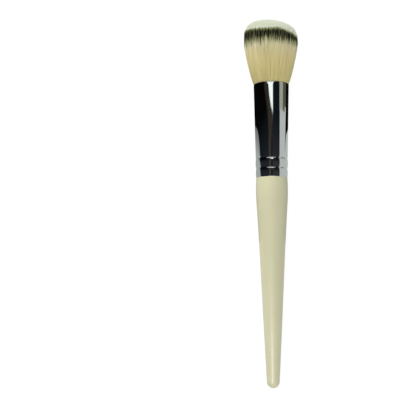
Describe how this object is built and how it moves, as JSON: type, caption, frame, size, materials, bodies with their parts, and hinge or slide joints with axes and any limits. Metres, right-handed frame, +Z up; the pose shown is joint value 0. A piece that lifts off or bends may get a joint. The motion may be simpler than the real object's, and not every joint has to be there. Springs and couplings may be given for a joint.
{
  "type": "flat top makeup brush",
  "caption": "Full-size face brush: round lacquered wooden handle, chromed ferrule and a dense, banded, flat-topped tuft, lying at rest.",
  "frame": {"origin": "bottom centre of the whole brush's bounding box, on the surface it lies on", "axes": "+X from the tail to the head, along the surface; +Z up, away from the surface. The brush's own axis rises towards the head by 3.27 degrees"},
  "size_m": [0.1834, 0.0274, 0.0267],
  "materials": {
    "cream_lacquer": "satin",
    "chromed_brass": "polished",
    "filament": "matte",
    "cast_resin": "gloss"
  },
  "bodies": {
    "root": {"handle": "cream_lacquer", "ferrule": "chromed_brass", "hair_bundle": "filament", "resin_plug": "cast_resin"}
  },
  "joints": []
}
